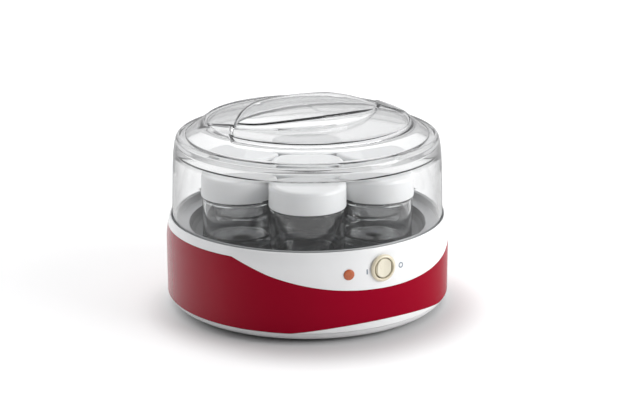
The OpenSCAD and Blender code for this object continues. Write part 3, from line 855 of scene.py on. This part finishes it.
def arc_y(x, off):
    """y of the front recess boundary at x, moved off mm into the recess (off < 0: out of it)."""
    ax = abs(x)
    if ax <= TIP:
        y = GC - math.sqrt(max(0.0, (GR + off) ** 2 - ax * ax))
        if off > 0:
            y = min(y, -GC + math.sqrt(max(0.0, (GR - off) ** 2 - ax * ax)))
    else:
        y = -GC + math.sqrt(max(0.0, (GR - off) ** 2 - ax * ax))
        if off > 0:
            y = min(y, GC - math.sqrt(max(0.0, (GR + off) ** 2 - ax * ax)))
    return min(0.0, y)


def lid_top(under):
    V, F = [], []
    sh = (LT - 0.3) if under else 0.0
    offs = [2.6, 2.1, 1.6, 1.2, 0.9, 0.7, 0.5, 0.25, 0.0, -0.12, -0.35, -0.7, -1.2, -1.8, -2.4, -2.9, -3.8, -4.4, -5.4, -6.4, -7.6, -9.0, -10.8, -12.8, -15.0, -17.5]
    cols = []
    for a in HALF:
        x = RB * math.cos(a)
        yb = -math.sqrt(max(0.0, RB * RB - x * x))
        ys = []
        y1 = max(yb, arc_y(x, offs[0] - sh))
        for k in range(14):
            ys.append(yb + (y1 - yb) * k / 14)
        for o in offs:
            ys.append(max(yb, arc_y(x, o - sh)))
        y2 = ys[-1]
        for k in range(1, 9):
            ys.append(y2 * (1 - k / 9))
        col = [(x, y) for y in ys] + [(x, 0.0)] + [(x, -y) for y in reversed(ys)]
        cols.append([(px, py, lid_z(px, py, under)) for px, py in col])
    m = len(cols[0])
    for c in cols:
        V += c
    for i in range(len(cols) - 1):
        for j in range(m - 1):
            F.append([i * m + j, (i + 1) * m + j, (i + 1) * m + j + 1, i * m + j + 1])
    # rings out to the rim
    if not under:
        rs = [RB, 89.5, 89.65, 89.8, 89.95, 90.1, 90.25, 90.4, 90.5, 90.65, 91.0, 91.8, 93.5, 96.5, 99.5, 102.5, 105.0, 106.6, 107.3]
    else:
        rs = [RB, 90.2, 91.2, 92.2, 93.2, 94.2, 95.0, 95.6, 96.1, 96.6, 97.1, 97.7, 98.6, 100.5, 103, 105, 106.5]
    n = len(ALL)
    o = len(V)
    for r in rs:
        for a in ALL:
            x, y = r * math.cos(a), r * math.sin(a)
            V.append((x, y, lid_z(x, y, under)))
    for j in range(len(rs) - 1):
        for i in range(n):
            k = (i + 1) % n
            F.append([o + j * n + i, o + j * n + k, o + (j + 1) * n + k, o + (j + 1) * n + i])
    return V, F, o + (len(rs) - 1) * n


outer_top, of_, o_last = lid_top(False)
under_top, uf_, u_last = lid_top(True)
prof_out = fil([
    (107.3, C0Z - SL * (107.3 - C0R)), (107.5, 152.4, 0.25), (113.2, 152.8, 2.5), (115.9, 150.4, 3.5), (117.1, 145.5, 8), (118.4, 136.0, 12),
    (119.2, 122.0, 12), (120.2, 90.0, 10), (120.6, 76.0), (120.6, 74.7, 0.4), (118.3, 74.7, 0.4), (118.2, 76.0),
    (117.7, 90.0, 10), (117.0, 116.0, 12), (116.1, 138.4, 0.5), (114.6, 139.5, 0.5), (112.2, 144.6, 3), (109.4, 147.6, 5),
    (106.5, C0Z - LT * math.sqrt(1 + SL * SL) + SL * (C0R - 106.5))], closed=False, n=8)
n = len(ALL)
V, F = list(outer_top), [list(q) for q in of_]
off_u = len(V)
V += under_top
F += [[i + off_u for i in q] for q in uf_]
prev = o_last
for r, z in prof_out[1:-1]:
    s = len(V)
    for a in ALL:
        V.append((r * math.cos(a), r * math.sin(a), z))
    for i in range(n):
        k = (i + 1) % n
        F.append([prev + i, prev + k, s + k, s + i])
    prev = s
for i in range(n):
    k = (i + 1) % n
    F.append([prev + i, prev + k, off_u + u_last + k, off_u + u_last + i])
make("lid_clear", V, F, M_LID, "lid", "clear_lid", ["lid"], sharp=70, weld=2e-6)

# ------------------------------------------------------------------ switch
bz = fil([(8.95, -8.4), (10.0, -8.4, 0.3), (10.0, -0.05), (11.8, -0.05, 0.1), (11.8, 0.9, 0.9), (10.9, 1.75, 0.9), (10.0, 2.15, 0.6), (9.35, 1.95, 0.35), (8.95, 1.2, 0.3)], n=6)
bez = make("switch_bezel_ring", *revolve(bz, 128), M_CREAM, None, mtx=mm(front(0, 62.9)))
pin_cut = cutter("c11", moved(cyl(1.0, -11, 11, 32), front(0, 62.9, -3.2) @ Matrix.Rotation(math.radians(90), 4, "X")))
cut(bez, [pin_cut])
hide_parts("switch_bezel")
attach(bez, "base")


def rocker_mesh():
    """Round rocker with two dished faces that meet in a soft valley."""
    R, tilt = 8.35, math.radians(7)
    rs = [0, 0.6, 1.2, 1.8, 2.4, 3.2, 4.0, 4.8, 5.6, 6.3, 6.9, 7.3, 7.6, 7.85, 8.05, 8.2, 8.3, R]
    segs = 96

    def zt(u, w):
        s = math.sqrt(u * u + 0.35)
        z = 4.23 + (s - 0.59) * math.tan(tilt) + 0.0
        z -= 0.25 * math.exp(-((abs(u) - 4.4) / 2.6) ** 2) * math.exp(-(w / 5.0) ** 2)
        z += 0.35 * (w / 8.5) ** 4
        rr = math.hypot(u, w)
        if rr > 7.3:
            q = (rr - 7.3) / (R - 7.3)
            z -= 1.0 * (1 - math.sqrt(max(0.0, 1 - min(1.0, q) ** 2)))
        return min(z, math.sqrt(max(0.0, 8.7 ** 2 - u * u))), 0
    V, F = [], []
    rings = []
    for r in rs:
        if r == 0:
            V.append((0, 0, zt(0, 0)[0]))
            rings.append([0] * segs)
        else:
            s = len(V)
            for i in range(segs):
                a = 2 * pi * i / segs
                u, w = r * math.cos(a), r * math.sin(a)
                V.append((u, w, zt(u, w)[0]))
            rings.append(list(range(s, s + segs)))
    for zz, rr in ((2.6, R), (0.0, R), (-2.2, R), (-3.2, R - 0.4), (-3.8, R - 1.6)):
        s = len(V)
        for i in range(segs):
            a = 2 * pi * i / segs
            u, w = rr * math.cos(a), rr * math.sin(a)
            lim = math.sqrt(max(0.0, 8.7 ** 2 - u * u))
            V.append((u, w, max(-lim, min(zz, lim - 0.05))))
        rings.append(list(range(s, s + segs)))
    for j in range(len(rings) - 1):
        A, B = rings[j], rings[j + 1]
        for i in range(segs):
            k = (i + 1) % segs
            g = []
            for q in (A[i], A[k], B[k], B[i]):
                if q not in g:
                    g.append(q)
            if len(g) > 2:
                F.append(g)
    F.append(rings[-1][::-1])
    return V, F


rk_m = front(0, 62.9, -3.2) @ Matrix.Rotation(math.radians(7), 4, "Y")
rk = make("rocker_button", *rocker_mesh(), M_ROCKER, None, mtx=mm(rk_m))
cut(rk, [cutter("c12", moved(cyl(1.05, -11, 11, 32), front(0, 62.9, -3.2) @ Matrix.Rotation(math.radians(90), 4, "X")))])
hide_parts("rocker")
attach(rk, "rocker")

# on and off marks beside the switch: a bar and a ring, printed a hair proud
bar = []


def mark(shape, a0, z0):
    """Wraps a thin local plate on the wall: local x runs round the wall."""
    v, f = shape
    out = []
    for x, y, w in v:
        th = a0 + math.degrees(x / BODY_R)
        z = z0 + y
        out.append(polar_pt(wall_r(z) + w, th, z))
    return out, f


make("mark_on", *mark(moved(soft_plate(1.1, 4.4, 0.3, 0.3, 0.04), Matrix.Translation((0, 0, 0.07))), -6.8, 61.6), M_MARK, "base", "lead_sleeve")
ring_p = revolve(fil([(1.5, -0.2), (2.45, -0.2), (2.45, 0.07, 0.03), (1.5, 0.07, 0.03)]), 64)
make("mark_off", *mark(ring_p, 8.6, 61.8), M_MARK, "base", "lead_sleeve")

# indicator lens
ln = fil([(0, 1.1), (2.4, 1.02), (3.6, 0.78, 0.8), (4.35, 0.55, 0.4), (4.7, 0.2, 0.3), (4.7, -0.05, 0.1), (3.95, -0.1), (3.95, -9.0, 0.3),
          (2.9, -9.0), (2.9, -1.4, 0.3), (0, -1.4)], n=5)
make("indicator_lens_amber", *revolve(ln, 96), M_AMBER, "base", "amber_lens", ["indicator_lens"], mtx=mm(front(-14.2, 60.9)))

# ------------------------------------------------------------------ carried-over parts
KEEP = {
    "bowl_screws": M_STEEL, "heater_ring": M_HEAT, "insulation_disc": M_INSUL, "clamp_plate": M_STEEL, "clamp_nut": M_STEEL,
    "thermostat": M_BLACK, "thermostat_bracket": M_STEEL, "thermal_fuse": M_FOIL, "terminal_block": M_IVORY, "harness": M_LEAD,
    "housing_screws": M_STEEL, "switch_body": M_BLACK, "switch_terminals": M_BRASS, "switch_pin": M_STEEL,
    "indicator_lamp": M_LAMP, "lamp_clip": M_BLACK}
for name, m in KEEP.items():
    ob = NODES[name]
    if not ob.material_slots:
        ob.data.materials.append(m)
    for s in ob.material_slots:
        s.material = m

# ------------------------------------------------------------------ studio
fl_v, fl_f = [(0, 0, -0.2)], []
segs = 96
rad = [150, 300, 600, 1200, 2400, 4800, 9000, 16000]
for r in rad:
    for i in range(segs):
        a = 2 * pi * i / segs
        fl_v.append((r * math.cos(a), r * math.sin(a), -0.2))
for i in range(segs):
    fl_f.append([0, 1 + i, 1 + (i + 1) % segs])
for j in range(len(rad) - 1):
    for i in range(segs):
        k = (i + 1) % segs
        fl_f.append([1 + j * segs + i, 1 + j * segs + k, 1 + (j + 1) * segs + k, 1 + (j + 1) * segs + i])
M_FLOOR = finish_mat("studio_floor", (0.60, 0.60, 0.602), (0.595, 0.595, 0.597), (0.55, 0.6), tone_scale=3.0, grain=300.0, grain_amt=0.02, spec=0.2)


def painted_floor_glow(m):
    """Painted light: the floor glows, softly rising away from a point near the middle and again far out, so the floor
    near the base keeps a painted shadow and the far floor turns white.
    """
    nt = m.node_tree
    tc = nt.nodes.new("ShaderNodeTexCoord")
    ln = nt.nodes.new("ShaderNodeVectorMath")
    ln.operation = "DISTANCE"
    nt.links.new(tc.outputs["Object"], ln.inputs[0])
    ln.inputs[1].default_value = (-0.005, -0.028, 0.0)
    mp = nt.nodes.new("ShaderNodeMapRange")
    mp.interpolation_type = "SMOOTHSTEP"
    mp.inputs["From Min"].default_value = 0.102
    mp.inputs["From Max"].default_value = 0.165
    mp.inputs["To Max"].default_value = 0.42
    nt.links.new(ln.outputs["Value"], mp.inputs["Value"])
    mq = nt.nodes.new("ShaderNodeMapRange")
    mq.inputs["From Min"].default_value = 0.3
    mq.inputs["From Max"].default_value = 1.6
    mq.inputs["To Max"].default_value = 0.34
    nt.links.new(ln.outputs["Value"], mq.inputs["Value"])
    ad = nt.nodes.new("ShaderNodeMath")
    nt.links.new(mp.outputs["Result"], ad.inputs[0])
    nt.links.new(mq.outputs["Result"], ad.inputs[1])
    b = nt.nodes["Principled BSDF"]
    b.inputs["Emission Color"].default_value = (1, 1, 1, 1)
    nt.links.new(ad.outputs[0], b.inputs["Emission Strength"])


# painted light: a glowing floor that leaves a painted shadow round the base
painted_floor_glow(M_FLOOR)
floor = make("studio_floor", fl_v, fl_f, M_FLOOR, None)

world = bpy.data.worlds.new("studio")
bpy.context.scene.world = world
world.use_nodes = True
wn = world.node_tree
bg = wn.nodes["Background"]
tc = wn.nodes.new("ShaderNodeTexCoord")
dot = wn.nodes.new("ShaderNodeVectorMath")
dot.operation = "DOT_PRODUCT"
dot.inputs[1].default_value = (0.47, 0.80, 0.37)
wn.links.new(tc.outputs["Generated"], dot.inputs[0])
mr = wn.nodes.new("ShaderNodeMapRange")
mr.inputs["From Min"].default_value = -1.0
mr.inputs["From Max"].default_value = 1.0
wn.links.new(dot.outputs["Value"], mr.inputs["Value"])
ramp = wn.nodes.new("ShaderNodeValToRGB")
els = ramp.color_ramp.elements
els[0].position = 0.0
els[0].color = (0.10, 0.10, 0.105, 1)
els[1].position = 1.0
els[1].color = (0.95, 0.95, 0.96, 1)
for p_, c_ in ((0.38, 0.14), (0.62, 0.50), (0.78, 0.90)):
    e_ = els.new(p_)
    e_.color = (c_, c_, c_ * 1.01, 1)
wn.links.new(mr.outputs["Result"], ramp.inputs["Fac"])
wn.links.new(ramp.outputs["Color"], bg.inputs["Color"])
bg.inputs["Strength"].default_value = 1.0


def area(name, loc, target, size, size_y, power, color=(1, 1, 1), spread=180):
    d = bpy.data.lights.new(name, "AREA")
    d.shape = "RECTANGLE"
    d.size = size
    d.size_y = size_y
    d.energy = power
    d.color = color
    d.spread = math.radians(spread)
    o = bpy.data.objects.new(name, d)
    bpy.context.scene.collection.objects.link(o)
    o.location = loc
    o.rotation_mode = "QUATERNION"
    o.rotation_quaternion = (Vector(target) - Vector(loc)).to_track_quat("-Z", "Y")
    return o


area("key_right", (1.15, -1.30, 0.85), (0, 0, 0.09), 1.2, 1.1, 27)
area("fill_left", (-1.7, 0.5, 0.7), (0, 0, 0.09), 0.9, 1.2, 4)
area("top", (0.15, 0.35, 1.9), (0, 0, 0.1), 1.8, 1.8, 13)

sc = bpy.context.scene
sc.view_settings.view_transform = "Standard"
sc.view_settings.look = "None"
sc.view_settings.exposure = 0.0
sc.view_settings.gamma = 1.0

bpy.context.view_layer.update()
